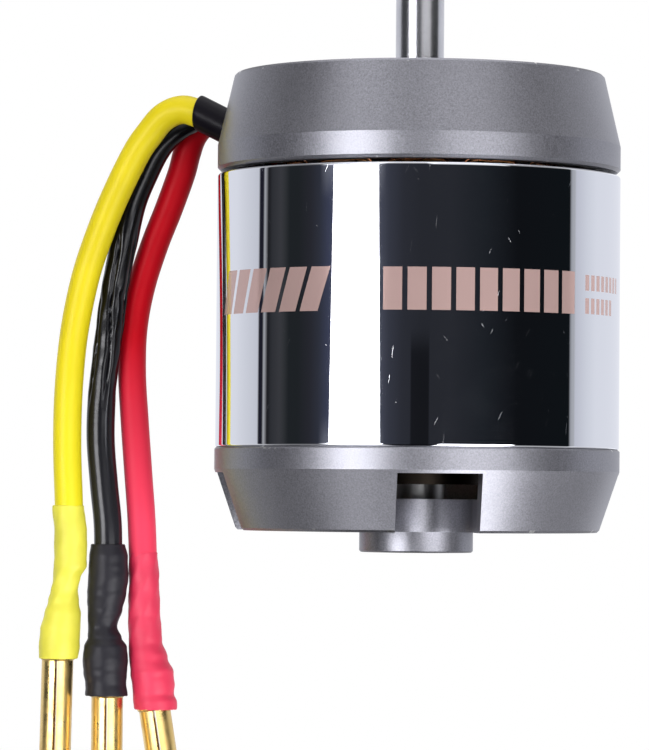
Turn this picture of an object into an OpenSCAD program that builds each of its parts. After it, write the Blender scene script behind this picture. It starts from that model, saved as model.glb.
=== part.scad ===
// Brushless outrunner motor: a fixed front mount carries the stator and both bearings, and the can
// turns around them with its magnets, rear bell and shaft. The shaft points up (+Z), the origin is
// the centre of the mounting face, and the three leads leave the mount on the -X side.
// Every height below is counted down from the mounting face.

/* [Mount] */
// Diameter of the mounting face
face_d = 46; // [44:0.5:48]
// Diameter of the plain band of the mount
mount_d = 50; // [49:0.5:51]
// Height of the cone between the face and the band
mount_cone_h = 8.8; // [7.5:0.1:9]
// Height of the whole mount
mount_h = 12; // [11.5:0.1:12.5]
// Diameter of the circle of the mounting threads
bolt_circle_d = 30; // [29:0.5:31]
// Core diameter of an M4 mounting thread
thread_d = 3.3; // [3:0.1:3.6]
// Number of mounting threads, and of the cooling vents between them
bolt_count = 4; // [3:1:4]

/* [Can] */
// Outer diameter of the flux ring
can_d = 50; // [49.5:0.5:51]
// Wall thickness of the flux ring
can_wall = 2; // [1.8:0.1:2.2]
// Length of the flux ring
can_len = 33.8; // [33.4:0.1:34.2]
// Open seam between the mount and the flux ring
seam_gap = 0.5; // [0.4:0.1:0.8]
// Number of magnets
magnet_count = 14; // [10:2:16]

/* [Rear bell] */
// Diameter of the band of the bell
bell_d = 50.2; // [50:0.1:51]
// Diameter of the lower edge of the bell
bell_end_d = 45.4; // [44:0.2:46]
// Height of the band of the bell
bell_band_h = 2.7; // [2.5:0.1:3]
// Height of the cone of the bell
bell_cone_h = 7.5; // [7.3:0.1:8]
// Width of a cooling slot
slot_w = 10.2; // [8:0.2:11]
// Turn of the first slot away from the front
slot_turn = 6.9; // [0:0.1:20]
// Diameter of the boss under the bell
boss_d = 14.1; // [13:0.1:16]
// Height of the boss
boss_h = 2.6; // [2:0.1:4]

/* [Stator] */
// Number of teeth
tooth_count = 12; // [12:1:12]
// Outer diameter of the laminated core
core_d = 40.2; // [39.8:0.1:40.4]
// Length of the laminated core
core_len = 28; // [27.6:0.2:28.2]

/* [Shaft and bearings] */
// Diameter of the shaft
shaft_d = 6; // [5.8:0.1:6]
// Free length of the shaft above the mounting face
shaft_free = 22; // [14:1:30]
// Outer diameter of a bearing
bearing_d = 15; // [15:0.1:15.4]
// Width of a bearing
bearing_w = 5; // [5:0.1:5.2]
// Diameter of a bearing ball
ball_d = 2.38; // [2.3:0.01:2.4]
// Number of balls in a bearing
ball_count = 7; // [6:1:8]

/* [Leads] */
// Diameter of a lead over its tubing
lead_d = 3.6; // [2.8:0.1:3.6]
// Diameter of a bullet plug
bullet_d = 4; // [3.8:0.1:4]
// Length of a bullet plug below its shrink tube
bullet_len = 14; // [12:0.5:16]

/* [Hidden] */
$fn = 96;
cut = 0.5; // how far a cutting shape runs past the solid that it cuts

// Heights of the levels, from the face down
can_top = -mount_h - seam_gap;
can_bottom = can_top - can_len;
bell_cone_top = can_bottom - bell_band_h;
bell_bottom = bell_cone_top - bell_cone_h;
boss_bottom = bell_bottom - boss_h;
core_top = can_top - 2.3;
core_bottom = core_top - core_len;
insulator_t = 0.8;
winding_top = core_top + insulator_t;
winding_bottom = core_bottom - insulator_t;
magnet_top = can_top - 1.3;
magnet_len = 29.5;

// Front mount
face_t = 4;
wall_t = 2.2;
tube_r = 9.5;
tube_shoulder_r = 10.5;
tube_bore_r = 6.2;
vent_half_w = 2.2;
vent_half_span = 4.5;
vent_depth = face_t + 2 * cut;

// Bearings: ball circle, the grooves and the shoulders beside them
front_bearing_z = -1.6;
tube_end_z = can_bottom - 4.4;
rear_bearing_z = tube_end_z + bearing_w;
ball_circle_r = (shaft_d + bearing_d) / 4;
groove_r = ball_d / 2 + 0.03;
inner_shoulder_r = ball_circle_r - 0.85;
outer_shoulder_r = ball_circle_r + 0.85;
shield_seat_r = outer_shoulder_r + 0.25;
shield_inset = 0.1;
shield_t = 0.25;
cage_half_t = 0.5;
cage_half_h = 1.6;
pocket_r = ball_d / 2 + 0.08;

// Stator
core_bore_r = tube_r;
core_back_r = 12.6;
tooth_w = 3.4;
shoe_t = 1.2;
shoe_half_angle = 12.4;
coil_inner_r = 13.2;
coil_outer_r = 18.3;
coil_gap = 0.15;
coil_clear = 0.35;
end_turn_h = 3.4;
coil_corner_r = 2;

// Magnets and bell
magnet_outer_r = can_d / 2 - can_wall;
magnet_inner_r = magnet_outer_r - 2.4;
magnet_gap_angle = 2.2;
spigot_r = magnet_outer_r;
spigot_h = 2.5;
spigot_wall = 1.6;
bell_floor_t = 4;
bell_floor_top = bell_bottom + bell_floor_t;
hub_r = 10;
slot_top = bell_cone_top - 0.4;
slot_angle = [for (i = [0:3]) -90 + slot_turn + 90 * i];
grub_slots = [1, 2];
grub_r = 1.5;
grub_len = 4;
grub_z = bell_bottom + bell_floor_t / 2;
flat_depth = 0.4;
hex_r = 0.85;
hex_depth = 1.6;

// Shaft, spacer, shim and clip
shaft_r = shaft_d / 2;
shaft_bottom = boss_bottom + 0.3;
shaft_chamfer = 0.5;
spacer_r = 3.5;
shim_t = 0.3;
shim_r = 4.3;
clip_t = 0.7;
clip_r = 4.8;
clip_groove = 0.3;
clip_gap = 2.2;

// Lead sleeve: where its inner end lies, its turn about the axis, its lean from upright, the roll of
// its row of leads, and its oval section
sleeve_start = [-19.3, 7, -8.3];
sleeve_turn = -20;
sleeve_lean = -64;
sleeve_roll = 6;
sleeve_len = 8.8;
sleeve_half_h = 2.15;
sleeve_bore_half_h = 1.88;
lead_pitch = 3.65;
sleeve_end_slant = 16;

// Routes of the leads, from the windings out through the sleeve and down to the bullet plugs
yellow_route = [
    [-17, 2.4, -8.6], [-20.4, 3.5, -8], [-23.8, 4.8, -6.3], [-28.2, 6.4, -4.1],
    [-30.3, 7.2, -3.7], [-32.4, 7.9, -4.6], [-34.1, 8.6, -6.5], [-35.9, 9.2, -9.1],
    [-38.6, 10.2, -14.5], [-40.7, 11.1, -19.6], [-42.5, 11.7, -25.2], [-43.8, 12.2, -31.9],
    [-44.4, 11.9, -39.1], [-44.5, 11.9, -46.3], [-44.2, 11.8, -54.1], [-44, 11.8, -60.8],
    [-44.7, 12, -64.9], [-45.3, 12.2, -68.5],
];
black_route = [
    [-15.9, 5.8, -8.6], [-19.3, 7, -8.3], [-22.7, 8.2, -6.6], [-27.4, 10, -4.4],
    [-29.7, 10.8, -4.9], [-32, 11.6, -6.5], [-33.5, 12.2, -8.3], [-34.9, 12.7, -11],
    [-36.6, 13.3, -15.1], [-37.8, 13.3, -20.7], [-38.8, 13.6, -26.3], [-39.5, 13.4, -32.5],
    [-40.2, 13.6, -38.6], [-40.4, 13.6, -44.8], [-39.9, 13.4, -51], [-39.3, 13.2, -57.1],
    [-39.4, 13.3, -64.9], [-40, 13.5, -69.5], [-39.6, 13.4, -73.1],
];
red_route = [
    [-14.9, 9.3, -8.6], [-18.2, 10.5, -8.6], [-21.6, 11.7, -6.9], [-25.6, 13.2, -4.9],
    [-27.6, 13.9, -4.9], [-29, 14.4, -6.4], [-29.8, 14.7, -8.6], [-30.5, 14.9, -11.3],
    [-32.1, 15.5, -15.7], [-33.9, 15.8, -20.3], [-35.5, 16.1, -25.4], [-36.5, 15.9, -31],
    [-36.6, 15.4, -36.6], [-36.2, 15.3, -42.8], [-35.7, 15.1, -48.9], [-35.2, 14.9, -55.1],
    [-34.9, 14.8, -61.2], [-34.7, 14.8, -67.4], [-34.3, 14.6, -72.5], [-33.7, 14.4, -75],
];

// Shrink tubes: a centre and an outer radius for each ring, from the top down
yellow_shrink = [
    [[-44.2, 11.8, -54.1], 2.05], [[-44, 11.8, -60.8], 2.1], [[-44.7, 12, -64.4], 1.85],
    [[-45, 12.1, -66.4], 2.1], [[-45.3, 12.2, -68.5], 2.6], [[-45.5, 12.3, -71.1], 2.7],
    [[-45.5, 12.3, -73.1], 2.4],
];
black_shrink = [
    [[-39.3, 13.2, -58.7], 2.25], [[-39.4, 13.3, -64.9], 2.4], [[-39.6, 13.4, -67.7], 2.15],
    [[-40, 13.5, -69.5], 1.8], [[-39.7, 13.4, -72], 2.75], [[-39.6, 13.4, -74.6], 2.8],
    [[-39.3, 13.2, -77.8], 2.65],
];
red_shrink = [
    [[-35, 14.9, -59.7], 1.85], [[-34.8, 14.8, -64.8], 2], [[-34.7, 14.8, -68.9], 2.15],
    [[-34.3, 14.6, -72.5], 2.35], [[-33.7, 14.4, -74.5], 2.65], [[-33.4, 14.3, -77.1], 2.7],
    [[-33.1, 14.2, -79.4], 2.65],
];

// Bullet plugs: the point where a plug leaves its shrink tube, and its lean from hanging straight
yellow_plug = [-45.5, 12.3, -73.4];
black_plug = [-39.2, 13.2, -78.1];
red_plug = [-33.2, 14.2, -79.7];
yellow_lean = 1;
black_lean = 0;
red_lean = -9;
cup_len = 3.7;
cup_r = 2.2;
cup_bore_r = 1.75;
cup_bore_depth = 3;
plug_bore_r = 1.2;
plug_slot_w = 0.4;
plug_slot_bottom = 1.5;
plug_chamfer = 0.6;

// ---- sweeping a round section along a route that stays near an XZ plane ----
lead_sides = 8;

function unit(v) = v / norm(v);

function heading(route, i) = unit(route[min(i + 1, len(route) - 1)] - route[max(i - 1, 0)]);

function ring_points(centre, direction, r) =
    let (side = unit(cross([0, 1, 0], direction)), out = cross(direction, side))
    [for (k = [0:lead_sides - 1])
        let (a = 360 * (k + 0.5) / lead_sides)
        centre + r * (cos(a) * side + sin(a) * out)];

function tube_points(route, radii) =
    [for (i = [0:len(route) - 1]) each ring_points(route[i], heading(route, i), radii[i])];

function tube_faces(rings) = concat(
    [[for (k = [0:lead_sides - 1]) k]],
    [for (i = [0:rings - 2]) for (k = [0:lead_sides - 1])
        let (a = i * lead_sides, b = a + lead_sides, n = (k + 1) % lead_sides)
        each [[a + k, b + k, a + n], [a + n, b + k, b + n]]],
    [[for (k = [lead_sides - 1:-1:0]) (rings - 1) * lead_sides + k]]
);

module swept_tube(route, radii) {
    polyhedron(points = tube_points(route, radii), faces = tube_faces(len(route)), convexity = 6);
}

module lead(route) {
    swept_tube(route, [for (p = route) lead_d / 2]);
}

module shrink_tube(rings) {
    swept_tube([for (q = rings) q[0]], [for (q = rings) q[1]]);
}

// ---- shared shapes ----
module stadium(half_h, half_span) {
    square([2 * half_h, 2 * half_span], center = true);
    for (s = [-1, 1]) {
        translate([0, s * half_span]) circle(half_h);
    }
}

module rounded_rectangle(w, h, r) {
    square([w - 2 * r, h], center = true);
    square([w, h - 2 * r], center = true);
    for (sx = [-1, 1], sy = [-1, 1]) {
        translate([sx * (w / 2 - r), sy * (h / 2 - r)]) circle(r);
    }
}

module washer(r_in, r_out, z_top, t) {
    translate([0, 0, z_top - t]) difference() {
        cylinder(r = r_out, h = t);
        translate([0, 0, -cut]) cylinder(r = r_in, h = t + 2 * cut);
    }
}

// A flat wedge from the axis outwards, for cutting sectors
module wedge(r, half_angle) {
    polygon([[0, 0], [r, -r * tan(half_angle)], [r, r * tan(half_angle)]]);
}

// ---- front mount ----
module sleeve_frame() {
    translate(sleeve_start) rotate([0, 0, sleeve_turn]) rotate([0, sleeve_lean, 0])
        rotate([0, 0, sleeve_roll]) children();
}

module mount_profile() {
    face_r = face_d / 2;
    band_r = mount_d / 2;
    edge = 0.25;
    foot = 0.4;
    polygon([
        [bearing_d / 2, 0], [face_r - edge, 0], [face_r, -edge], [band_r, -mount_cone_h],
        [band_r, -mount_h + foot], [band_r - foot, -mount_h], [band_r - wall_t, -mount_h],
        [band_r - wall_t, -mount_cone_h], [face_r - wall_t + 0.5, -face_t], [tube_shoulder_r, -face_t],
        [tube_shoulder_r, winding_top], [tube_r, winding_top], [tube_r, tube_end_z],
        [bearing_d / 2, tube_end_z], [bearing_d / 2, rear_bearing_z], [tube_bore_r, rear_bearing_z],
        [tube_bore_r, front_bearing_z - bearing_w], [bearing_d / 2, front_bearing_z - bearing_w],
    ]);
}

module front_mount() {
    color("#8d8f97") difference() {
        rotate_extrude() mount_profile();
        for (i = [0:bolt_count - 1]) {
            rotate(360 * (i + 0.5) / bolt_count) translate([bolt_circle_d / 2, 0, -face_t - cut])
                cylinder(d = thread_d, h = face_t + 2 * cut);
        }
        for (i = [0:bolt_count - 1]) {
            rotate(360 * i / bolt_count) translate([0, 0, -face_t - cut]) linear_extrude(vent_depth)
                translate([bolt_circle_d / 2, 0]) stadium(vent_half_w, vent_half_span);
        }
        sleeve_frame() linear_extrude(sleeve_len + 2) stadium(sleeve_half_h + 0.05, lead_pitch);
    }
}

module lead_sleeve() {
    color("#26262b") sleeve_frame() difference() {
        linear_extrude(sleeve_len + 2) stadium(sleeve_half_h, lead_pitch);
        translate([0, 0, -cut]) linear_extrude(sleeve_len + 3)
            stadium(sleeve_bore_half_h, lead_pitch);
        translate([0, 0, sleeve_len]) rotate([0, -sleeve_end_slant, 0])
            translate([-10, -10, 0]) cube([20, 20, 10]);
    }
}

// ---- stator ----
module lamination(w, back_r) {
    difference() {
        circle(back_r);
        circle(core_bore_r);
    }
    for (i = [0:tooth_count - 1]) {
        rotate(360 * i / tooth_count) translate([back_r - 1, -w / 2])
            square([core_d / 2 - shoe_t / 2 - back_r + 1, w]);
    }
    intersection() {
        difference() {
            circle(core_d / 2);
            circle(core_d / 2 - shoe_t);
        }
        for (i = [0:tooth_count - 1]) {
            rotate(360 * i / tooth_count) wedge(core_d, shoe_half_angle);
        }
    }
}

module stator_core() {
    color("#5a5c60") translate([0, 0, core_bottom]) linear_extrude(core_len)
        lamination(tooth_w, core_back_r);
}

module end_insulator(z_bottom) {
    color("#2f6b4a") translate([0, 0, z_bottom]) linear_extrude(insulator_t)
        lamination(tooth_w + 0.4, core_back_r + 0.2);
}

module front_insulator() {
    end_insulator(core_top);
}

module rear_insulator() {
    end_insulator(winding_bottom);
}

// One coil: a rounded loop around a tooth that points along +X
module coil() {
    z_mid = (winding_top + winding_bottom) / 2;
    loop_h = winding_top - winding_bottom + 2 * end_turn_h;
    half_w_in = coil_inner_r * tan(180 / tooth_count) - coil_gap;
    half_w_out = coil_outer_r * tan(180 / tooth_count) - coil_gap;
    hole_w = tooth_w + 2 * coil_clear;
    difference() {
        intersection() {
            translate([0, 0, z_mid - loop_h]) linear_extrude(2 * loop_h) polygon([
                [coil_inner_r, -half_w_in], [coil_outer_r, -half_w_out],
                [coil_outer_r, half_w_out], [coil_inner_r, half_w_in],
            ]);
            translate([coil_inner_r - cut, 0, z_mid]) rotate([90, 0, 90])
                linear_extrude(coil_outer_r - coil_inner_r + 2 * cut)
                    rounded_rectangle(2 * half_w_out, loop_h, coil_corner_r);
        }
        translate([coil_inner_r - cut, -hole_w / 2, winding_bottom])
            cube([coil_outer_r - coil_inner_r + 2 * cut, hole_w, winding_top - winding_bottom]);
    }
}

module phase_coils(teeth) {
    color("#b4632f") for (i = teeth) {
        rotate(360 * i / tooth_count) coil();
    }
}

module phase_a_coils() {
    phase_coils([0, 1, 6, 7]);
}

module phase_b_coils() {
    phase_coils([2, 3, 8, 9]);
}

module phase_c_coils() {
    phase_coils([4, 5, 10, 11]);
}

// ---- ball bearings, each given the height of its upper face ----
module bearing_ring(z_top, r_in, r_out) {
    color("#c9ccd1") rotate_extrude() difference() {
        translate([r_in, z_top - bearing_w]) square([r_out - r_in, bearing_w]);
        translate([ball_circle_r, z_top - bearing_w / 2]) circle(groove_r);
        for (z = [z_top - shield_inset - shield_t, z_top - bearing_w + shield_inset]) {
            translate([ball_circle_r, z]) square([shield_seat_r - ball_circle_r, shield_t]);
        }
    }
}

module bearing_balls(z_top) {
    color("#e3e5e8") for (i = [0:ball_count - 1]) {
        rotate(360 * i / ball_count) translate([ball_circle_r, 0, z_top - bearing_w / 2])
            sphere(d = ball_d, $fn = 48);
    }
}

module bearing_cage(z_top) {
    color("#a8884a") difference() {
        translate([0, 0, z_top - bearing_w / 2 - cage_half_h]) difference() {
            cylinder(r = ball_circle_r + cage_half_t, h = 2 * cage_half_h);
            translate([0, 0, -cut])
                cylinder(r = ball_circle_r - cage_half_t, h = 2 * cage_half_h + 2 * cut);
        }
        for (i = [0:ball_count - 1]) {
            rotate(360 * i / ball_count) translate([ball_circle_r, 0, z_top - bearing_w / 2])
                sphere(r = pocket_r, $fn = 48);
        }
    }
}

module bearing_shields(z_top) {
    color("#b9bcc2") {
        washer(inner_shoulder_r + 0.2, shield_seat_r, z_top - shield_inset, shield_t);
        washer(inner_shoulder_r + 0.2, shield_seat_r, z_top - bearing_w + shield_inset + shield_t,
            shield_t);
    }
}

module front_bearing_outer_race() {
    bearing_ring(front_bearing_z, outer_shoulder_r, bearing_d / 2);
}

module front_bearing_inner_race() {
    bearing_ring(front_bearing_z, shaft_r, inner_shoulder_r);
}

module front_bearing_balls() {
    bearing_balls(front_bearing_z);
}

module front_bearing_cage() {
    bearing_cage(front_bearing_z);
}

module front_bearing_shields() {
    bearing_shields(front_bearing_z);
}

module rear_bearing_outer_race() {
    bearing_ring(rear_bearing_z, outer_shoulder_r, bearing_d / 2);
}

module rear_bearing_inner_race() {
    bearing_ring(rear_bearing_z, shaft_r, inner_shoulder_r);
}

module rear_bearing_balls() {
    bearing_balls(rear_bearing_z);
}

module rear_bearing_cage() {
    bearing_cage(rear_bearing_z);
}

module rear_bearing_shields() {
    bearing_shields(rear_bearing_z);
}

// ---- rotor ----
module flux_ring() {
    r_out = can_d / 2;
    r_in = r_out - can_wall;
    edge = 0.3;
    color("#e6e7ea") rotate_extrude() polygon([
        [r_in, can_bottom], [r_out - edge, can_bottom], [r_out, can_bottom + edge],
        [r_out, can_top - edge], [r_out - edge, can_top], [r_in, can_top],
    ]);
}

module magnets() {
    pitch = 360 / magnet_count;
    color("#c3c6cc") translate([0, 0, magnet_top - magnet_len]) for (i = [0:magnet_count - 1]) {
        rotate(pitch * i) linear_extrude(magnet_len) intersection() {
            difference() {
                circle(magnet_outer_r);
                circle(magnet_inner_r);
            }
            wedge(can_d, (pitch - magnet_gap_angle) / 2);
        }
    }
}

module bell_profile() {
    band_r = bell_d / 2;
    end_r = bell_end_d / 2;
    edge = 0.2;
    foot = 0.3;
    boss_r = boss_d / 2;
    polygon([
        [spigot_r - spigot_wall, can_bottom + spigot_h], [spigot_r, can_bottom + spigot_h],
        [spigot_r, can_bottom], [band_r - edge, can_bottom], [band_r, can_bottom - edge],
        [band_r, bell_cone_top], [end_r, bell_bottom + foot], [end_r - foot, bell_bottom],
        [boss_r, bell_bottom], [boss_r, boss_bottom + edge], [boss_r - edge, boss_bottom],
        [shaft_r, boss_bottom], [shaft_r, bell_floor_top], [end_r - 2.7, bell_floor_top],
        [spigot_r - spigot_wall, can_bottom - 2.2],
    ]);
}

module rear_bell() {
    color("#8d8f97") difference() {
        rotate_extrude() bell_profile();
        for (a = slot_angle) {
            rotate(a) translate([hub_r + slot_w / 2, 0, bell_bottom - cut])
                linear_extrude(slot_top - bell_bottom + cut) {
                    circle(slot_w / 2);
                    translate([0, -slot_w / 2]) square([bell_d / 2, slot_w]);
                }
        }
        for (i = grub_slots) {
            rotate(slot_angle[i]) translate([shaft_r - flat_depth - cut, 0, grub_z]) rotate([0, 90, 0])
                cylinder(r = grub_r, h = hub_r - shaft_r + flat_depth + 3 * cut);
        }
    }
}

module grub_screws() {
    color("#2b2b2e") for (i = grub_slots) {
        rotate(slot_angle[i]) translate([shaft_r - flat_depth, 0, grub_z]) rotate([0, 90, 0]) difference() {
            cylinder(r = grub_r, h = grub_len);
            translate([0, 0, grub_len - hex_depth]) cylinder(r = hex_r, h = hex_depth + cut, $fn = 6);
        }
    }
}

module shaft() {
    r_groove = shaft_r - clip_groove;
    clip_top = front_bearing_z + shim_t + clip_t;
    flat_h = bell_floor_t - 0.2;
    color("#d3d5d9") difference() {
        rotate_extrude() polygon([
            [0, shaft_bottom], [shaft_r - shaft_chamfer, shaft_bottom],
            [shaft_r, shaft_bottom + shaft_chamfer], [shaft_r, clip_top - clip_t],
            [r_groove, clip_top - clip_t], [r_groove, clip_top], [shaft_r, clip_top],
            [shaft_r, shaft_free - shaft_chamfer], [shaft_r - shaft_chamfer, shaft_free],
            [0, shaft_free],
        ]);
        for (i = grub_slots) {
            rotate(slot_angle[i]) translate([shaft_r - flat_depth, -shaft_r, grub_z - flat_h / 2])
                cube([shaft_r, shaft_d, flat_h]);
        }
    }
}

module rear_spacer() {
    color("#c9ccd1") washer(shaft_r, spacer_r, tube_end_z, tube_end_z - bell_floor_top);
}

module front_shim() {
    color("#c9ccd1") washer(shaft_r, shim_r, front_bearing_z + shim_t, shim_t);
}

module retaining_clip() {
    color("#3a3a3e") difference() {
        washer(shaft_r - clip_groove, clip_r, front_bearing_z + shim_t + clip_t, clip_t);
        translate([0, -clip_gap / 2, front_bearing_z]) cube([clip_r + cut, clip_gap, 2]);
    }
}

// ---- leads, shrink tubes and bullet plugs ----
module lead_yellow() {
    color("#f2e620") lead(yellow_route);
}

module lead_black() {
    color("#242428") lead(black_route);
}

module lead_red() {
    color("#c8142c") lead(red_route);
}

module shrink_yellow() {
    color("#f5ee4a") shrink_tube(yellow_shrink);
}

module shrink_black() {
    color("#2a2a31") shrink_tube(black_shrink);
}

module shrink_red() {
    color("#ee3352") shrink_tube(red_shrink);
}

// A one-piece male bullet: solder cup above, slotted hollow plug below. Its wall's seam is turned away
// from the four slots.
module bullet(place, lean) {
    r = bullet_d / 2;
    color("#d9b040") translate(place) rotate([0, lean, 0]) difference() {
        rotate(45) rotate_extrude() polygon([
            [0, cup_len - cup_bore_depth], [cup_bore_r, cup_len - cup_bore_depth],
            [cup_bore_r, cup_len], [cup_r, cup_len], [cup_r, 0.2], [r, 0],
            [r, plug_chamfer - bullet_len], [r - plug_chamfer, -bullet_len],
            [plug_bore_r, -bullet_len], [plug_bore_r, -1], [0, -1],
        ]);
        for (a = [0, 90]) {
            rotate(a) translate([-cup_r, -plug_slot_w / 2, plug_slot_bottom - bullet_len])
                cube([2 * cup_r, plug_slot_w, bullet_len - plug_slot_bottom]);
        }
    }
}

module bullet_yellow() {
    bullet(yellow_plug, yellow_lean);
}

module bullet_black() {
    bullet(black_plug, black_lean);
}

module bullet_red() {
    bullet(red_plug, red_lean);
}

front_mount();
stator_core();
front_insulator();
rear_insulator();
phase_a_coils();
phase_b_coils();
phase_c_coils();
front_bearing_outer_race();
front_bearing_inner_race();
front_bearing_balls();
front_bearing_cage();
front_bearing_shields();
rear_bearing_outer_race();
rear_bearing_inner_race();
rear_bearing_balls();
rear_bearing_cage();
rear_bearing_shields();
flux_ring();
magnets();
rear_bell();
shaft();
rear_spacer();
front_shim();
retaining_clip();
grub_screws();
lead_sleeve();
lead_yellow();
lead_black();
lead_red();
shrink_yellow();
shrink_black();
shrink_red();
bullet_yellow();
bullet_black();
bullet_red();
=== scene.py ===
"""Looks of the brushless outrunner motor: camera, leads, studio, materials and the detailed pieces that
stand for the plain CAD solids. Lengths are in metres in the CAD's own frame; a number times MM is in
millimetres."""
import math
import random

import bpy
from mathutils import Matrix, Vector, noise


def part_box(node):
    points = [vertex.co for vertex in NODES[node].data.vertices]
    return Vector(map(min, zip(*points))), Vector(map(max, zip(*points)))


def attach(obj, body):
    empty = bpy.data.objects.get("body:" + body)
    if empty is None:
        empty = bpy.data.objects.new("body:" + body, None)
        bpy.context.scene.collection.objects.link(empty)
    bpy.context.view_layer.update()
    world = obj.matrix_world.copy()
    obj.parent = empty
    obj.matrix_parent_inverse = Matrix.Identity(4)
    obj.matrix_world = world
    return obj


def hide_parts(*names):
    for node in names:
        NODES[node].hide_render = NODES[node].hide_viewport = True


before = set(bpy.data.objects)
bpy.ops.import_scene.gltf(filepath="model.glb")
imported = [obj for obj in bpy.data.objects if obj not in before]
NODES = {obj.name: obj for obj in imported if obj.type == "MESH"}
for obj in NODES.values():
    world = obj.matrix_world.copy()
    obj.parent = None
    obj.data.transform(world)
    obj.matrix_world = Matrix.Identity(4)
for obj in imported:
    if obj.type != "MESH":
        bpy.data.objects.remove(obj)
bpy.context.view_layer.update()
MM = 0.001


# ---------------------------------------------------------------- meshes
def mesh_piece(name, verts, faces, material, body, replaced, sharp=None):
    """A new smooth-shaded piece that rides on a body and stands for the replaced CAD nodes. Edges steeper
    than sharp degrees stay hard."""
    mesh = bpy.data.meshes.new(name)
    mesh.from_pydata(verts, [], faces)
    mesh.shade_smooth()
    if sharp is not None:
        mesh.set_sharp_from_angle(angle=math.radians(sharp))
    mesh.materials.append(material)
    piece = bpy.data.objects.new(name, mesh)
    bpy.context.scene.collection.objects.link(piece)
    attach(piece, body)
    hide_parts(*replaced)
    return piece


def bridge(rings, size, first=0, closed=False):
    """Quads between rings of vertices that follow each other, from the vertex number first."""
    faces = []
    for i in range(rings if closed else rings - 1):
        a = first + i * size
        b = first + (i + 1) % rings * size
        for k in range(size):
            n = (k + 1) % size
            faces.append((a + k, a + n, b + n, b + k))
    return faces


def smooth_path(points, step=0.35 * MM):
    """Close points in metres along a smooth curve through the given ones, which are in millimetres."""
    p = [Vector(q) * MM for q in points]
    p = [2 * p[0] - p[1], *p, 2 * p[-1] - p[-2]]
    path = []
    for a, b, c, d in zip(p, p[1:], p[2:], p[3:]):
        count = max(2, round((c - b).length / step))
        for i in range(count):
            t = i / count
            path.append(0.5 * (2 * b + (c - a) * t + (2 * a - 5 * b + 4 * c - d) * t**2
                               + (3 * b - a - 3 * c + d) * t**3))
    path.append(p[-2])
    return path


def path_length(path):
    return sum((b - a).length for a, b in zip(path, path[1:]))


def ring_around(centre, direction, radius, sides):
    """A ring of points square to a direction near an XZ plane. Angle 0 is the -X side of a lead that
    hangs down, and angle 270 its -Y side. radius is a function of the angle in radians."""
    side = Vector((0, 1, 0)).cross(direction).normalized()
    out = direction.cross(side)
    ring = []
    for k in range(sides):
        a = 2 * math.pi * k / sides
        ring.append(centre + radius(a) * (math.cos(a) * side + math.sin(a) * out))
    return ring


def sweep(path, radius, sides):
    """Vertices and faces of a closed tube; radius(s, angle) is its surface at the length s."""
    verts, s = [], 0.0
    for i, centre in enumerate(path):
        before, after = path[max(i - 1, 0)], path[min(i + 1, len(path) - 1)]
        if i:
            s += (centre - path[i - 1]).length
        verts += ring_around(centre, (after - before).normalized(), lambda a: radius(s, a), sides)
    faces = bridge(len(path), sides)
    faces.append(tuple(reversed(range(sides))))
    faces.append(tuple(range(len(verts) - sides, len(verts))))
    return verts, faces


def ease(low, high, x):
    """0 below low, 1 above high and smooth between."""
    t = min(1.0, max(0.0, (x - low) / (high - low)))
    return t * t * (3 - 2 * t)


def through(stops, x):
    """A smooth value at x through (x, value) stops in rising order."""
    if x <= stops[0][0]:
        return stops[0][1]
    for (x0, v0), (x1, v1) in zip(stops, stops[1:]):
        if x <= x1:
            return v0 + (v1 - v0) * ease(x0, x1, x)
    return stops[-1][1]


def ripple(*place, size=1.0):
    """Even noise from -1 to 1 at a place, with bumps about as large as size."""
    return noise.noise(Vector(place) / size)


def fillet(outline, radius, steps=6, guard=0.1 * MM):
    """A closed (r, z) outline with its corners rounded, and a point beside each arc that keeps the
    straight stretch's shading straight."""
    made, count = [], len(outline)
    for i, corner in enumerate(outline):
        corner = Vector(corner)
        to_last = (Vector(outline[i - 1]) - corner).normalized()
        to_next = (Vector(outline[(i + 1) % count]) - corner).normalized()
        half = to_last.angle(to_next) / 2
        reach = radius / math.tan(half)
        centre = corner + (to_last + to_next).normalized() * radius / math.sin(half)
        start, end = corner + to_last * reach - centre, corner + to_next * reach - centre
        made.append(corner + to_last * (reach + guard))
        for k in range(steps + 1):
            made.append(centre + start.lerp(end, k / steps).normalized() * radius)
        made.append(corner + to_next * (reach + guard))
    return made


def lathe(outline, segments):
    """Vertices and faces of a closed (r, z) outline turned about the Z axis."""
    verts = []
    for i in range(segments):
        a = 2 * math.pi * i / segments
        verts += [Vector((r * math.cos(a), r * math.sin(a), z)) for r, z in outline]
    return verts, bridge(segments, len(outline), closed=True)


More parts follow.
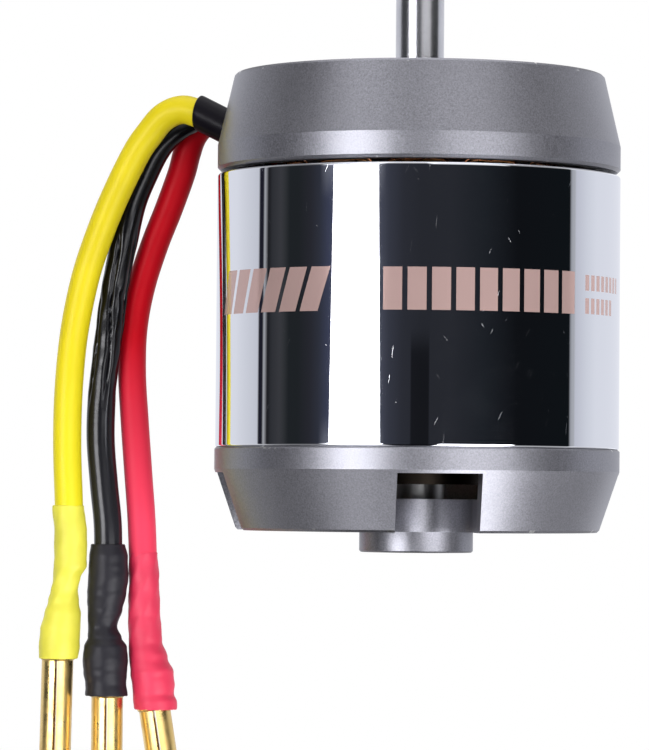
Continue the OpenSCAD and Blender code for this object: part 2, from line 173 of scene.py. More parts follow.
# ---------------------------------------------------------------- materials
class Finish:
    """A Principled material. Its constants sit on the shader's own sockets, and short calls add the
    nodes for what varies over the surface."""

    def __init__(self, name, **constants):
        self.material = bpy.data.materials.new(name)
        self.material.use_nodes = True
        self.tree = self.material.node_tree
        self.shader = self.tree.nodes["Principled BSDF"]
        for socket, value in constants.items():
            self.feed(self.shader, socket.replace("_", " "), value)

    def feed(self, node, socket, value):
        if isinstance(value, bpy.types.NodeSocket):
            self.tree.links.new(value, node.inputs[socket])
        elif isinstance(value, tuple) and len(value) == 3 and len(node.inputs[socket].default_value) == 4:
            node.inputs[socket].default_value = (*value, 1)
        else:
            node.inputs[socket].default_value = value

    def add(self, kind, inputs=(), **settings):
        node = self.tree.nodes.new("ShaderNode" + kind)
        for key, value in settings.items():
            setattr(node, key, value)
        for socket, value in dict(inputs).items():
            self.feed(node, socket, value)
        return node

    def place(self):
        """The point on the object, in metres."""
        return self.add("TexCoord").outputs["Object"]

    def maths(self, operation, a, b=0.0, c=0.0):
        return self.add("Math", {0: a, 1: b, 2: c}, operation=operation).outputs[0]

    def stretched(self, size, turn, place):
        """Coordinates for a texture whose features are size long on each axis, turned about Z."""
        inputs = {"Vector": place, "Rotation": (0, 0, turn), "Scale": size}
        return self.add("Mapping", inputs, vector_type="TEXTURE").outputs[0]

    def grain(self, scale, detail=2.0, roughness=0.5, place=None):
        """Noise from 0 to 1."""
        inputs = {"Vector": place or self.place(), "Scale": scale, "Detail": detail, "Roughness": roughness}
        return self.add("TexNoise", inputs).outputs[0]

    def span(self, value, low, high, to_low=0.0, to_high=1.0, smooth=False):
        """value between low and high, carried over to another range and held at its ends."""
        inputs = {"Value": value, "From Min": low, "From Max": high, "To Min": to_low, "To Max": to_high}
        kind = "SMOOTHSTEP" if smooth else "LINEAR"
        return self.add("MapRange", inputs, interpolation_type=kind).outputs[0]

    def mix(self, share, a, b):
        """Colour a, and colour b where share is 1."""
        node = self.add("Mix", data_type="RGBA")
        self.feed(node, 0, share)
        for index, colour in ((6, a), (7, b)):
            self.feed(node, index, colour)
        return node.outputs[2]

    def bump(self, height, strength, distance):
        return self.add("Bump", {"Height": height, "Strength": strength, "Distance": distance}).outputs[0]

    def cylinder(self):
        """(turn about Z from the -Y side in radians, radius, height) of the point on the object."""
        parts = self.add("SeparateXYZ", {0: self.place()}).outputs
        turn = self.maths("ARCTAN2", parts[0], self.maths("MULTIPLY", parts[1], -1.0))
        squares = self.maths("MULTIPLY_ADD", parts[0], parts[0], self.maths("MULTIPLY", parts[1], parts[1]))
        return turn, self.maths("SQRT", squares), parts[2]

    def set(self, **sockets):
        for socket, value in sockets.items():
            self.feed(self.shader, socket.replace("_", " "), value)
        return self.material


def blasted_anodise(name, base, edge_heights, inner_shade=0.0):
    """Bead-blasted, anodised aluminium: a fine even grain, cloudy depth, and bright nicks at its rims.
    inner_shade paints shade: it darkens the tube that reaches through the windings."""
    f = Finish(name, Metallic=1.0, Specular_IOR_Level=0.5)
    fine = f.grain(5200, 3, 0.6)
    cloud = f.grain(90, 3)
    light = tuple(min(1.0, c * 1.28) for c in base)
    dark = tuple(c * 0.78 for c in base)
    colour = f.mix(f.span(fine, 0.3, 0.7), dark, light)
    colour = f.mix(f.span(cloud, 0.35, 0.75, 0, 0.35), colour, tuple(c * 0.9 for c in base))
    radius, height = f.cylinder()[1:]
    chance = f.maths("MULTIPLY", f.span(f.grain(700, 2), 0.66, 0.72), f.span(radius, 22.3 * MM, 22.6 * MM))
    near = None
    for z in edge_heights:
        off = f.maths("ABSOLUTE", f.maths("SUBTRACT", height, z))
        rim = f.span(off, 0.12 * MM, 0.4 * MM, 1, 0)
        near = rim if near is None else f.maths("MAXIMUM", near, rim)
    nick = f.maths("MULTIPLY", near, chance)
    colour = f.mix(nick, colour, (0.9, 0.9, 0.88))
    # painted shade: the tube inside the windings is darkened as far as inner_shade says
    low_enough = f.maths("LESS_THAN", height, -12 * MM)
    inside = f.maths("MULTIPLY", f.span(radius, 10.7 * MM, 10.8 * MM, 1, 0), low_enough)
    colour = f.mix(f.maths("MULTIPLY", inside, inner_shade), colour, (0.03, 0.024, 0.018))
    rough = f.maths("SUBTRACT", f.span(fine, 0.3, 0.7, 0.33, 0.45), f.maths("MULTIPLY", nick, 0.15))
    return f.set(Base_Color=colour, Roughness=rough, Normal=f.bump(fine, 0.35, 0.03 * MM))


def turned_steel(name, base, rough, lines=9000, strength=0.25, along=2):
    """Turned or ground steel: fine lines around the Z axis, at steps along Z (2) or the radius (1)."""
    f = Finish(name, Metallic=1.0, Base_Color=base)
    place = f.add("CombineXYZ", {0: f.cylinder()[along], 1: 0.0, 2: 0.0}).outputs[0]
    line = f.grain(lines, 4, 0.7, place)
    smear = f.grain(260, 3)
    colour = f.mix(f.span(smear, 0.4, 0.75, 0, 0.5), base, tuple(c * 0.72 for c in base))
    return f.set(
        Base_Color=colour,
        Roughness=f.span(line, 0.3, 0.7, rough * 0.75, rough * 1.3),
        Normal=f.bump(line, strength, 0.01 * MM),
    )


def plated(name, base, rough, scale=600):
    """A bright plated metal with faint tarnish and handling marks."""
    f = Finish(name, Metallic=1.0)
    stain = f.grain(scale, 4, 0.6)
    fine = f.grain(scale * 9, 2)
    tarnished = tuple(c * k for c, k in zip(base, (0.82, 0.72, 0.55)))
    colour = f.mix(f.span(stain, 0.45, 0.75, 0, 0.6), base, tarnished)
    return f.set(
        Base_Color=colour,
        Roughness=f.span(stain, 0.3, 0.7, rough * 0.7, rough * 1.5),
        Normal=f.bump(fine, 0.12, 0.01 * MM),
    )


CAN_RADIUS = 25 * MM


def polished_can():
    """Mirror-polished ring with hairline scratches, specks, and a generic etched band of slanted bars."""
    f = Finish("can_polish", Specular_IOR_Level=0.3)
    turn, _, height = f.cylinder()
    arc = f.maths("MULTIPLY", turn, CAN_RADIUS)
    flat = f.add("CombineXYZ", {0: arc, 1: height, 2: 0.0}).outputs[0]

    marks = None
    # turn in degrees, length and width in mm, size of the mark in its cell, and share of the empty cells
    for degrees, long, thin, size, none in (
        (64, 2.1, 0.05, 0.3, 0.996), (-52, 1.5, 0.05, 0.3, 0.998), (84, 3.2, 0.045, 0.3, 0.9985),
        (20, 2.4, 2.1, 0.035, 0.9), (70, 1.1, 0.7, 0.045, 0.96),
    ):
        cell = f.add("TexVoronoi", {
            "Vector": f.stretched((long * MM, thin * MM, 1), math.radians(degrees), flat), "Scale": 1.0})
        chosen = f.maths("GREATER_THAN", f.add("SeparateXYZ", {0: cell.outputs["Color"]}).outputs[0], none)
        mark = f.maths("MULTIPLY", f.span(cell.outputs["Distance"], size * 0.7, size, 1, 0), chosen)
        marks = mark if marks is None else f.maths("MAXIMUM", marks, mark)

    etch = etched_bars(f, arc, height)
    colour = f.mix(f.maths("MULTIPLY", marks, 0.3), (0.77, 0.785, 0.82), (0.95, 0.95, 0.97))
    colour = f.mix(etch, colour, (0.5, 0.345, 0.315))
    rough = f.maths("MULTIPLY_ADD", marks, 0.16, f.span(f.grain(220, 3), 0.3, 0.7, 0.015, 0.035))
    rough = f.maths("MULTIPLY_ADD", etch, 0.08, rough)
    metal = f.maths("MULTIPLY_ADD", etch, -0.62, 1.0)
    return f.set(Base_Color=colour, Metallic=metal, Roughness=rough, Normal=f.bump(marks, 0.12, 0.01 * MM))


def etched_bars(f, arc, height):
    """1 inside the etched bars: one tall slanted row around the front, then two low rows beside it."""
    def row(z_low, z_high, first, last, pitch, share, slant):
        lean = f.maths("MULTIPLY_ADD", height, -slant, arc)
        along = f.maths("FRACT", f.maths("DIVIDE", f.maths("SUBTRACT", lean, first * MM), pitch * MM))
        bar = f.maths("LESS_THAN", along, share)
        for value, low, high in ((lean, first, last), (height, z_low, z_high)):
            bar = f.maths("MULTIPLY", bar, f.maths("GREATER_THAN", value, low * MM))
            bar = f.maths("MULTIPLY", bar, f.maths("LESS_THAN", value, high * MM))
        return bar

    first = row(-30.2, -24.9, -21.2, -2.0, 3.2, 0.8, 0.32)
    second = row(-30.1, -25.0, -4.0, 21.8, 2.9, 0.78, 0.0)
    upper = row(-27.2, -25.3, 23.6, 33.6, 1.3, 0.66, 0.0)
    lower = row(-30.0, -28.1, 23.6, 31.0, 1.3, 0.66, 0.0)
    return f.maths("MAXIMUM", f.maths("MAXIMUM", first, second), f.maths("MAXIMUM", upper, lower))


def lamination_steel():
    """A stack of thin sheets: dark varnished steel with a line at every sheet."""
    f = Finish("lamination_stack", Metallic=1.0)
    height = f.cylinder()[2]
    sheet = f.maths("FRACT", f.maths("DIVIDE", height, 0.35 * MM))
    joint = f.span(f.maths("ABSOLUTE", f.maths("SUBTRACT", sheet, 0.5)), 0.36, 0.5)
    tone = f.grain(500, 3)
    colour = f.mix(f.span(tone, 0.35, 0.7), (0.16, 0.155, 0.15), (0.3, 0.29, 0.28))
    colour = f.mix(joint, colour, (0.02, 0.018, 0.016))
    bump = f.bump(joint, -0.8, 0.06 * MM)
    return f.set(Base_Color=colour, Roughness=f.span(tone, 0.3, 0.7, 0.38, 0.6), Normal=bump)


def enamelled_copper():
    """Copper wire under a clear amber enamel."""
    f = Finish("wire_enamel", Metallic=1.0, Coat_Weight=0.6, Coat_Roughness=0.12, Coat_IOR=1.55)
    tone = f.grain(900, 3)
    colour = f.mix(f.span(tone, 0.3, 0.7), (0.62, 0.2, 0.07), (0.86, 0.38, 0.16))
    return f.set(Base_Color=colour, Roughness=f.span(tone, 0.3, 0.7, 0.2, 0.36))


def moulded(name, base, rough, painted_lit_lower=None, variation=0.12, **constants):
    """A plain coloured plastic or rubber: slight cloudiness, uneven gloss and a fine skin grain. It can
    have a second colour lower down as painted light and shade: darker near the motor, lighter below."""
    f = Finish(name, **constants)
    cloud = f.grain(150, 3)
    fine = f.grain(2500, 2)
    colour = f.mix(f.span(cloud, 0.3, 0.7), tuple(c * (1 - variation) for c in base), base)
    if painted_lit_lower:
        # painted shade and light: the tubing is darker near the motor and lighter lower down
        colour = f.mix(f.span(f.cylinder()[2], -32 * MM, -56 * MM), colour, painted_lit_lower)
    return f.set(
        Base_Color=colour,
        Roughness=f.span(fine, 0.3, 0.7, rough * 0.88, rough * 1.12),
        Normal=f.bump(fine, 0.2, 0.03 * MM),
    )


# ---------------------------------------------------------------- camera
CAMERA_PLACE = (0.00294, -0.5221, -0.05161)
CAMERA_PITCH = 1.578
CAMERA_YAW = -1.587
CAMERA_ROLL = 0.484
CAMERA_LENS = 201.97


def make_camera():
    pitch, yaw, roll = (math.radians(x) for x in (CAMERA_PITCH, CAMERA_YAW, CAMERA_ROLL))
    ahead = Vector((math.sin(yaw) * math.cos(pitch), math.cos(yaw) * math.cos(pitch), math.sin(pitch)))
    level = Vector((math.cos(yaw), -math.sin(yaw), 0))
    upright = level.cross(ahead)
    right = math.cos(roll) * level + math.sin(roll) * upright
    up = math.cos(roll) * upright - math.sin(roll) * level
    lens = bpy.data.cameras.new("camera")
    lens.sensor_fit = "VERTICAL"
    lens.sensor_height = 36
    lens.lens = CAMERA_LENS
    lens.clip_start = 0.01
    lens.clip_end = 20
    camera = bpy.data.objects.new("camera", lens)
    bpy.context.scene.collection.objects.link(camera)
    camera.matrix_world = Matrix.Translation(CAMERA_PLACE) @ Matrix((right, up, -ahead)).transposed().to_4x4()
    bpy.context.scene.camera = camera


# ---------------------------------------------------------------- leads, shrink tubes and sleeve
LEAD_RADIUS = 1.8 * MM
LEAD_PITCH = 3.65 * MM
SLEEVE_START = Vector((-19.3, 7, -8.3)) * MM
SLEEVE_FRAME = (Matrix.Rotation(math.radians(-20), 3, "Z") @ Matrix.Rotation(math.radians(-64), 3, "Y")
                @ Matrix.Rotation(math.radians(6), 3, "Z"))
SLEEVE_LENGTH = 8.8 * MM
ROUTES = {
    "yellow": [
        (-17, 2.4, -8.6), (-20.4, 3.5, -8), (-23.8, 4.8, -6.3), (-28.2, 6.4, -4.1), (-30.3, 7.2, -3.7),
        (-32.4, 7.9, -4.6), (-34.1, 8.6, -6.5), (-35.9, 9.2, -9.1), (-38.6, 10.2, -14.5),
        (-40.7, 11.1, -19.6), (-42.5, 11.7, -25.2), (-43.8, 12.2, -31.9), (-44.4, 11.9, -39.1),
        (-44.5, 11.9, -46.3), (-44.2, 11.8, -54.1), (-44, 11.8, -60.8), (-44.7, 12, -64.9),
        (-45.3, 12.2, -68.5),
    ],
    "black": [
        (-15.9, 5.8, -8.6), (-19.3, 7, -8.3), (-22.7, 8.2, -6.6), (-27.4, 10, -4.4),
        (-29.7, 10.8, -4.9), (-32, 11.6, -6.5), (-33.5, 12.2, -8.3), (-34.9, 12.7, -11),
        (-36.6, 13.3, -15.1), (-37.8, 13.3, -20.7), (-38.8, 13.6, -26.3), (-39.5, 13.4, -32.5),
        (-40.2, 13.6, -38.6), (-40.4, 13.6, -44.8), (-39.9, 13.4, -51), (-39.3, 13.2, -57.1),
        (-39.4, 13.3, -64.9), (-40, 13.5, -69.5), (-39.6, 13.4, -73.1),
    ],
    "red": [
        (-14.9, 9.3, -8.6), (-18.2, 10.5, -8.6), (-21.6, 11.7, -6.9), (-25.6, 13.2, -4.9),
        (-27.6, 13.9, -4.9), (-29, 14.4, -6.4), (-29.8, 14.7, -8.6), (-30.5, 14.9, -11.3),
        (-32.1, 15.5, -15.7), (-33.9, 15.8, -20.3), (-35.5, 16.1, -25.4), (-36.5, 15.9, -31),
        (-36.6, 15.4, -36.6), (-36.2, 15.3, -42.8), (-35.7, 15.1, -48.9), (-35.2, 14.9, -55.1),
        (-34.9, 14.8, -61.2), (-34.7, 14.8, -67.4), (-34.3, 14.6, -72.5), (-33.7, 14.4, -75),
    ],
}
# Each lead hangs in an upright plane, 20 degrees from the XZ plane; the number is that plane's distance
# from the axis. Shrink tubes from the top down: height, X and radius of the outside, in millimetres
LEAD_TURN = math.radians(20)
SHRINKS = {
    "yellow": (-3.9, [
        (-53.7, -44.3, 2.06), (-57.2, -43.95, 2.11), (-61.3, -43.95, 2.11), (-62.9, -44.4, 1.8),
        (-64.6, -44.7, 1.78), (-65.8, -44.8, 1.96), (-67.5, -44.9, 2.33), (-69.5, -45.2, 2.56),
        (-71.8, -45.3, 2.6), (-73.2, -45.4, 2.45),
    ]),
    "black": (-1, [
        (-58.6, -39.3, 2.2), (-60.2, -39.2, 2.47), (-62.8, -39.2, 2.57), (-64.9, -39.4, 2.49),
        (-66.9, -39.6, 2.26), (-69.1, -39.9, 1.87), (-70.5, -39.6, 2.2), (-71.7, -39.5, 2.75),
        (-73.4, -39.5, 2.9), (-74.9, -39.5, 2.77), (-76.4, -39.4, 2.61), (-77.9, -39.3, 2.72),
    ]),
    "red": (2, [
        (-59.6, -34.9, 1.9), (-63.8, -34.75, 2.0), (-67.4, -34.7, 2.09), (-71, -34.5, 2.19),
        (-73, -34.1, 2.46), (-74.9, -33.6, 2.76), (-76.6, -33.4, 2.72), (-77.6, -33.4, 2.62),
        (-78.6, -33.15, 2.8), (-79.6, -33.1, 2.74),
    ]),
}
# Height in millimetres from one ring of a shrink tube to the next
SHRINK_STEP = 0.18
# Steepest angle between two faces that is still shaded as one smooth surface
STEEPEST = 40


def lead_surface(name, path):
    """The radius of a lead's tubing at a length and an angle. Its end is pressed thinner where the shrink
    tube holds it."""
    top = SHRINKS[name][1][0][0] * MM
    inside_tube = 0.01 * path_length(path)
    held = path_length([point for point in path if point.z > top]) + inside_tube

    def plain(s, a):
        squeeze = 1 - 0.2 * ease(held, held + 1.5 * MM, s)
        return LEAD_RADIUS * squeeze * (1 + 0.012 * ripple(s, a * 2 * MM, 7, size=6 * MM))

    def stranded(s, a):
        """Soft black tubing that shows the wire's strands as long ridges over the middle of its run."""
        strength = ease(31 * MM, 36 * MM, s) * (1 - ease(50 * MM, 56 * MM, s))
        wander = 1.4 * ripple(s, 3, 1, size=11 * MM)
        ridge = abs(math.sin(2.5 * a + wander + s / (11 * MM)))
        fold = 0.5 + 0.5 * ripple(s, a * 4 * MM, 5, size=2.2 * MM)
        return plain(s, a) + strength * (0.1 * MM - 0.42 * MM * (1 - ridge) ** 3 - 0.26 * MM * fold)

    return stranded if name == "black" else plain


def shrink_surface(stops, lane, name):
    """Centre line and radius of a shrink tube: lips at both ends, wrinkles where it is drawn in."""
    top, bottom = stops[0][0], stops[-1][0]
    count = round((top - bottom) / SHRINK_STEP)
    rising = [(-z, x, r) for z, x, r in stops]
    rows = []
    for i in range(count + 1):
        z = top + (bottom - top) * i / count
        x = through([(q[0], q[1]) for q in rising], -z)
        r = through([(q[0], q[2]) for q in rising], -z)
        y = (lane - x * math.sin(LEAD_TURN)) / math.cos(LEAD_TURN)
        rows.append((Vector((x, y, z)) * MM, r * MM))
    neck = min(r for _, r in rows)

    def radius(row, a):
        centre, r = rows[row]
        fold = ripple(centre.z * 2, math.cos(a) * r, math.sin(a) * r + len(name) * 9 * MM, size=1.5 * MM)
        drawn = 1 - ease(neck, neck * 1.35, r)
        crease = abs(math.sin(3 * a + centre.z / (1.1 * MM))) * drawn
        return r * (1 + 0.018 * fold) - 0.09 * MM * crease

    return rows, radius


def make_shrink(name, material):
    lane, stops = SHRINKS[name]
    rows, radius = shrink_surface(stops, lane, name)
    sides, down = 64, Vector((0, 0, -1))
    around_lead, around_plug, mouth_depth = 0.85 * LEAD_RADIUS, 1.9 * MM, 1.2 * MM
    verts = ring_around(rows[0][0], down, lambda a: around_lead, sides)
    for back, drop in ((0.14 * MM, 0.0), (0.04 * MM, 0.04 * MM), (0.0, 0.14 * MM)):
        verts += ring_around(rows[0][0] + down * drop, down, lambda a: radius(0, a) - back, sides)
    for i in range(1, len(rows) - 1):
        verts += ring_around(rows[i][0], down, lambda a: radius(i, a), sides)
    last = len(rows) - 1
    ragged = 0.22 * MM if name == "red" else 0.06 * MM
    lip = ((0.0, 0.14 * MM), (0.04 * MM, 0.04 * MM), (0.16 * MM, 0.0), (0.42 * MM, 0.02 * MM))
    for back, rise in lip:
        ring = ring_around(rows[last][0] - down * rise, down, lambda a: radius(last, a) - back, sides)
        for k, point in enumerate(ring):
            point.z += ragged * ripple(k * 0.35, len(name), 2)
            verts.append(point)
    verts += ring_around(rows[last][0] - down * mouth_depth, down, lambda a: around_plug, sides)
    count = len(verts) // sides
    faces = bridge(count, sides)
    faces.append(tuple(reversed(range(sides))))
    faces.append(tuple(range(len(verts) - sides, len(verts))))
    return mesh_piece("shrink_tube_" + name, verts, faces, material, "stator",
                      ["shrink_" + name], sharp=STEEPEST)


def make_sleeve(material):
    """The oval sleeve around the three leads: drawn in a little between them, its end cut slanting."""
    half, span, wall = 2.15 * MM, LEAD_PITCH, 0.3 * MM
    slope = math.tan(math.radians(16))
    around = 28

    def section(inset):
        """(across, along the row) points of the oval, inset from the outside."""
        points = []
        for side in (-1, 1):
            for k in range(around):
                a = math.pi * k / around
                y = side * (span + (half - inset) * math.sin(a))
                points.append(((half - inset) * math.cos(a) * -side, y))
            for k in range(1, around):
                y = side * span * (1 - 2 * k / around)
                dip = 0.16 * MM * (0.5 - 0.5 * math.cos(2 * math.pi * y / span))
                points.append((side * (half - inset - dip), y))
        return points

    # along the sleeve: share of its length up to the lip, then distances back from its cut end
    steps = [(k / 12, 0.0, 0.0) for k in range(12)]
    steps += [(1, -0.3 * MM, 0.0), (1, -0.08 * MM, 0.03 * MM), (1, 0.0, 0.11 * MM),
              (1, -0.02 * MM, wall - 0.08 * MM), (1, -0.12 * MM, wall), (1, -3.5 * MM, wall)]
    verts, size = [], len(section(0))
    for share, back, inset in steps:
        for x, y in section(inset):
            end = SLEEVE_LENGTH + slope * x
            swell = 1 + 0.02 * ripple(share, x / MM, y / MM, size=2.5)
            verts.append(SLEEVE_START + SLEEVE_FRAME @ Vector((x * swell, y, share * end + back)))
    faces = bridge(len(steps), size)
    return mesh_piece("lead_sleeve_tube", verts, faces, material, "stator", ["lead_sleeve"],
                      sharp=STEEPEST)


def make_leads():
    """Camera side first: each lead with its shrink tube."""
    tubing = {
        # base, roughness, lower colour and specular level; the darker base near the motor and the lighter
        # lower colour are painted shade and light
        "yellow": ((0.75, 0.61, 0.006), 0.42, (0.74, 0.64, 0.012), 0.25),
        "black": ((0.002, 0.002, 0.003), 0.21, (0.015, 0.015, 0.018), 0.28),
        "red": ((0.56, 0.002, 0.01), 0.42, (0.76, 0.05, 0.1), 0.1),
    }
    colours = {name: moulded("tubing_" + name, base, rough, painted_lit_lower, Specular_IOR_Level=gloss)
               for name, (base, rough, painted_lit_lower, gloss) in tubing.items()}
    shrinks = {
        "yellow": moulded("shrink_yellow_skin", (0.78, 0.72, 0.06), 0.5, variation=0.2),
        "black": moulded("shrink_black_skin", (0.017, 0.016, 0.021), 0.42, Specular_IOR_Level=0.25),
        "red": moulded("shrink_red_skin", (0.74, 0.03, 0.085), 0.5, variation=0.2),
    }
    sleeve = make_sleeve(moulded("sleeve_skin", (0.004, 0.003, 0.006), 0.32, Specular_IOR_Level=0.1))
    for name, route in ROUTES.items():
        path = smooth_path(route)
        verts, faces = sweep(path, lead_surface(name, path), 72 if name == "black" else 48)
        lead = mesh_piece("lead_tubing_" + name, verts, faces, colours[name], "stator",
                          ["lead_" + name], sharp=60)
        shrink = make_shrink(name, shrinks[name])


# ---------------------------------------------------------------- rotor and stator detail
def make_can():
    """The flux ring again, with rounded rims and fine enough for a mirror finish."""
    low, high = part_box("flux_ring")
    wall, rim_radius, segments = 2 * MM, 0.28 * MM, 512
    inner = high.x - wall
    outline = [(inner, low.z), (high.x, low.z), (high.x, high.z), (inner, high.z)]
    verts, faces = lathe(fillet(outline, rim_radius), segments)
    mesh_piece("polished_can_shell", verts, faces, polished_can(), "rotor", ["flux_ring"])


WIRE_RADIUS = 0.4 * MM
WIRE_PITCH = 0.83
WIRE_SIDES = 8
TEETH = 12
TOOTH_END = 18
INSULATOR = 0.8 * MM
# Winding layers in millimetres: half width of the loop, first X, and rise over the end of the tooth
LAYERS = [(2.5, 13.6, 0.45), (3.32, 14.9, 1.4), (4.12, 17.7, 2.35)]
PHASES = {"a": (0, 1, 6, 7), "b": (2, 3, 8, 9), "c": (4, 5, 10, 11)}


def wire_loop(x, half_width, top, bottom, corner, wobble):
    """Points of one turn around a tooth along +X, with rounded corners."""
    points = []
    for sy, sz, first in ((1, 1, 0), (-1, 1, 1), (-1, -1, 2), (1, -1, 3)):
        for k in range(6):
            a = math.pi / 2 * (first + k / 5)
            y = sy * (half_width - corner) + corner * math.cos(a)
            z = (top - corner if sz > 0 else bottom + corner) + corner * math.sin(a)
            points.append(Vector((x + wobble.uniform(-0.08, 0.08) * MM, y, z)))
    return points


def make_windings(material):
    """Every coil as single turns of wire, laid in three layers that fill the slot beside a tooth."""
    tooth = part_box("stator_core")
    top = tooth[1].z + INSULATOR
    bottom = tooth[0].z - INSULATOR
    wobble = random.Random(4)
    for phase, teeth in PHASES.items():
        verts, faces = [], []
        for tooth_number in teeth:
            turn = Matrix.Rotation(math.radians(360 / TEETH * tooth_number), 4, "Z")
            for half_width, first_x, rise in LAYERS:
                x = first_x
                while x < TOOTH_END:
                    loop = wire_loop(x * MM, half_width * MM, top + rise * MM, bottom - rise * MM,
                                     (0.9 + 0.4 * rise) * MM, wobble)
                    start = len(verts)
                    for i, point in enumerate(loop):
                        ahead = (loop[(i + 1) % len(loop)] - loop[i - 1]).normalized()
                        side = Vector((1, 0, 0))
                        out = ahead.cross(side).normalized()
                        for k in range(WIRE_SIDES):
                            a = 2 * math.pi * k / WIRE_SIDES
                            spot = point + WIRE_RADIUS * (math.cos(a) * side + math.sin(a) * out)
                            verts.append(turn @ spot)
                    faces += bridge(len(loop), WIRE_SIDES, start, closed=True)
                    x += WIRE_PITCH
        mesh_piece(f"phase_{phase}_windings", verts, faces, material, "stator",
                   [f"phase_{phase}_coils"])


def finish_cad_nodes():
    """Procedural finishes for the CAD nodes that show as they are."""
    bearing = turned_steel("bearing_race", (0.66, 0.66, 0.67), 0.24, along=1)
    shield = turned_steel("bearing_shield_steel", (0.6, 0.6, 0.6), 0.34, 5000, along=1)
    washer = turned_steel("washer_steel", (0.6, 0.6, 0.59), 0.45)
    grey = (0.265, 0.265, 0.29)
    finishes = {
        ("front_mount",): blasted_anodise("mount_anodise", grey, (-12 * MM, -0.1 * MM), 1.0),
        ("rear_bell",): blasted_anodise("bell_anodise", grey, (-46.3 * MM, -56.5 * MM)),
        ("stator_core",): lamination_steel(),
        ("front_insulator", "rear_insulator"): moulded("insulator_resin", (0.03, 0.13, 0.07), 0.45),
        ("front_bearing_outer_race", "front_bearing_inner_race",
         "rear_bearing_outer_race", "rear_bearing_inner_race"): bearing,
        ("front_bearing_balls", "rear_bearing_balls"): plated("ball_polish", (0.75, 0.75, 0.76), 0.06),
        ("front_bearing_cage", "rear_bearing_cage"): plated("cage_brass", (0.72, 0.5, 0.2), 0.28),
        ("front_bearing_shields", "rear_bearing_shields"): shield,
        ("magnets",): plated("magnet_nickel", (0.62, 0.61, 0.58), 0.24),
        ("shaft",): turned_steel("shaft_ground", (0.6, 0.6, 0.62), 0.2),
        ("rear_spacer", "front_shim"): washer,
        ("retaining_clip",): plated("clip_spring_steel", (0.2, 0.2, 0.21), 0.3),
        ("grub_screws",): plated("screw_black_oxide", (0.07, 0.07, 0.075), 0.34),
        ("bullet_yellow", "bullet_black", "bullet_red"): plated("plug_gold", (0.84, 0.62, 0.24), 0.28, 350),
    }
    for names, material in finishes.items():
        for name in names:
            for holder in NODES[name].material_slots:
                holder.material = material


# ---------------------------------------------------------------- studio
# Lamps and light walls of the studio: azimuths (0 is the -Y side, + towards +X), elevations, how much
# narrower it gets per degree of elevation, softness of its edges, and strength
LAMPS = [
    ((-50.1, -20.6), (-3, 5.6), 0.5, 0.7, 14.5),
    ((-53, -22), (-60, -3), 0, 4, 1.25),
    ((-53, -22), (8, 60), 0, 4, 1.05),
    ((14, 55), (-60, -2.5), 0, 2.5, 5.4),
    ((9, 50), (9, 60), 0, 4, 1.08),
    ((-20, 8), (14, 60), 0, 6, 0.5),
    ((-100, -54), (14, 60), 0, 6, 0.22),
    ((-100, -54), (-60, -10), 0, 6, 0.22),
    ((52, 100), (14, 60), 0, 6, 0.42),
    ((52, 100), (-60, -10), 0, 6, 0.5),
    ((-180, -101), (14, 60), 0, 4, 0.45),
    ((101, 180), (14, 60), 0, 4, 0.57),
    ((-180, -101), (-60, -10), 0, 4, 0.5),
    ((101, 180), (-60, -10), 0, 4, 0.5),
    ((-200, 200), (62, 100), 0, 8, 1.6),
]


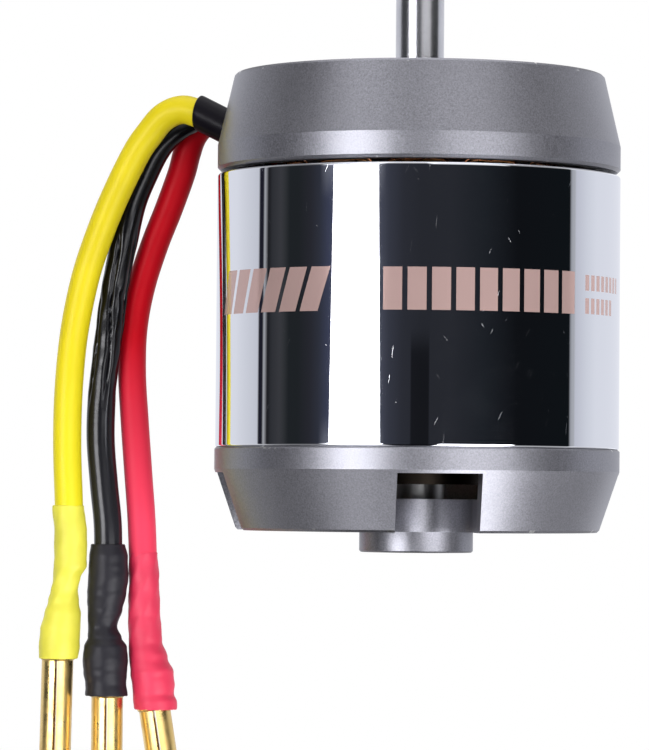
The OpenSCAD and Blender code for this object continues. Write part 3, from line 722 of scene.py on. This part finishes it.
def make_world():
    """White walls at the sides, dark cards in front, and the lamps. The camera sees plain white."""
    world = bpy.data.worlds.new("studio")
    bpy.context.scene.world = world
    world.use_nodes = True
    tree = world.node_tree
    tree.nodes.clear()
    add, link = tree.nodes.new, tree.links.new

    def maths(operation, a, b=0.0, c=0.0):
        node = add("ShaderNodeMath")
        node.operation = operation
        for socket, value in zip(node.inputs, (a, b, c)):
            if isinstance(value, bpy.types.NodeSocket):
                link(value, socket)
            else:
                socket.default_value = value
        return node.outputs[0]

    parts = add("ShaderNodeSeparateXYZ")
    link(add("ShaderNodeTexCoord").outputs["Generated"], parts.inputs[0])
    x, y, z = parts.outputs
    azimuth = maths("DEGREES", maths("ARCTAN2", x, maths("MULTIPLY", y, -1.0)))
    elevation = maths("DEGREES", maths("ARCSINE", z))

    def inside(value, low, high, soft, narrowing=0.0):
        """1 between low and high, falling to 0 over a soft edge."""
        centre, half = (low + high) / 2, (high - low) / 2
        off = maths("ABSOLUTE", maths("SUBTRACT", value, centre))
        reach = maths("MULTIPLY_ADD", elevation, -narrowing, half + soft)
        node = add("ShaderNodeClamp")
        link(maths("DIVIDE", maths("SUBTRACT", reach, off), soft), node.inputs[0])
        return node.outputs[0]

    wall, card = (0.84, 0.855, 0.925), (0.025, 0.027, 0.034)
    stops = [
        (-180, wall), (-126, wall), (-117, (0.77, 0.785, 0.85)), (-102.2, (0.66, 0.675, 0.74)),
        (-101.8, (0.015, 0.015, 0.025)), (-98, (0.015, 0.015, 0.025)), (-97.6, (0.46, 0.47, 0.5)),
        (-95.9, (0.4, 0.4, 0.42)), (-95.3, (0.025, 0.025, 0.03)), (-93.5, (0.014, 0.014, 0.017)),
        (-91, (0.034, 0.036, 0.042)), (-84, (0.05, 0.051, 0.058)), (-80.8, (0.036, 0.039, 0.043)),
        (-77.6, (0.017, 0.02, 0.023)), (-71, (0.017, 0.02, 0.023)), (-62.8, (0.025, 0.026, 0.034)),
        (-57, (0.034, 0.038, 0.054)), (-50, (0.055, 0.063, 0.11)), (-21, (0.075, 0.08, 0.11)),
        (-16, (0.045, 0.049, 0.067)), (-8, (0.03, 0.032, 0.042)), (2, card), (19, card),
        (38, (0.015, 0.018, 0.023)), (58, (0.006, 0.007, 0.009)), (96.4, (0.006, 0.008, 0.01)),
        (97.2, (0.45, 0.46, 0.5)), (100.2, (0.48, 0.49, 0.52)), (100.5, (0.62, 0.63, 0.71)),
        (112, (0.76, 0.78, 0.85)), (122, wall), (180, wall),
    ]
    belt = add("ShaderNodeValToRGB")
    link(maths("MULTIPLY_ADD", azimuth, 1 / 360, 0.5), belt.inputs[0])
    while len(belt.color_ramp.elements) < len(stops):
        belt.color_ramp.elements.new(0.5)
    for element, (angle, colour) in zip(belt.color_ramp.elements, stops):
        element.position = angle / 360 + 0.5
        element.color = (*colour, 1)

    light = None
    for azimuths, elevations, narrowing, soft, strength in LAMPS:
        across = inside(azimuth, *azimuths, soft, narrowing)
        mask = maths("MULTIPLY", across, inside(elevation, *elevations, soft))
        light = maths("MULTIPLY_ADD", mask, strength, light or 0.0)

    seen, lit, white = (add("ShaderNodeBackground") for _ in range(3))
    both, choose = add("ShaderNodeAddShader"), add("ShaderNodeMixShader")
    link(belt.outputs[0], seen.inputs[0])
    shade = maths("MULTIPLY", inside(azimuth, -3, 6.5, 0.7), inside(elevation, -10, 1.9, 0.3))
    level = maths("MULTIPLY", inside(elevation, -9, 12, 8), maths("MULTIPLY_ADD", shade, -0.6, 1.0))
    link(level, seen.inputs[1])
    lit.inputs[0].default_value = (0.97, 0.97, 1.0, 1)
    link(light, lit.inputs[1])
    link(seen.outputs[0], both.inputs[0])
    link(lit.outputs[0], both.inputs[1])
    white.inputs[0].default_value = (1, 1, 1, 1)
    link(add("ShaderNodeLightPath").outputs["Is Camera Ray"], choose.inputs[0])
    link(both.outputs[0], choose.inputs[1])
    link(white.outputs[0], choose.inputs[2])
    link(choose.outputs[0], add("ShaderNodeOutputWorld").inputs[0])


def make_floor():
    """A pale floor far below the hanging motor. It lights nothing, shows only from above, and fades into the
    white behind it."""
    radius, height, count = 12, -1.5, 128
    turns = [2 * math.pi * k / count for k in range(count)]
    rim = [Vector((radius * math.cos(a), radius * math.sin(a), height)) for a in turns]
    mesh = bpy.data.meshes.new("floor")
    mesh.from_pydata(rim, [], [tuple(range(count))])
    floor = bpy.data.objects.new("floor", mesh)
    bpy.context.scene.collection.objects.link(floor)
    f = Finish("floor_paint", Roughness=0.9, Specular_IOR_Level=0.0, Emission_Color=(1, 1, 1))
    away = f.span(f.cylinder()[1], 0.6, 5, smooth=True)
    mesh.materials.append(f.set(Base_Color=f.mix(away, (0.8, 0.8, 0.81), (0, 0, 0)), Emission_Strength=away))
    floor.visible_glossy = False
    floor.visible_diffuse = False
    floor.visible_shadow = False


make_camera()
make_leads()
make_can()
make_windings(enamelled_copper())
finish_cad_nodes()
make_world()
make_floor()
bpy.context.scene.view_settings.view_transform = "Standard"
bpy.context.view_layer.update()
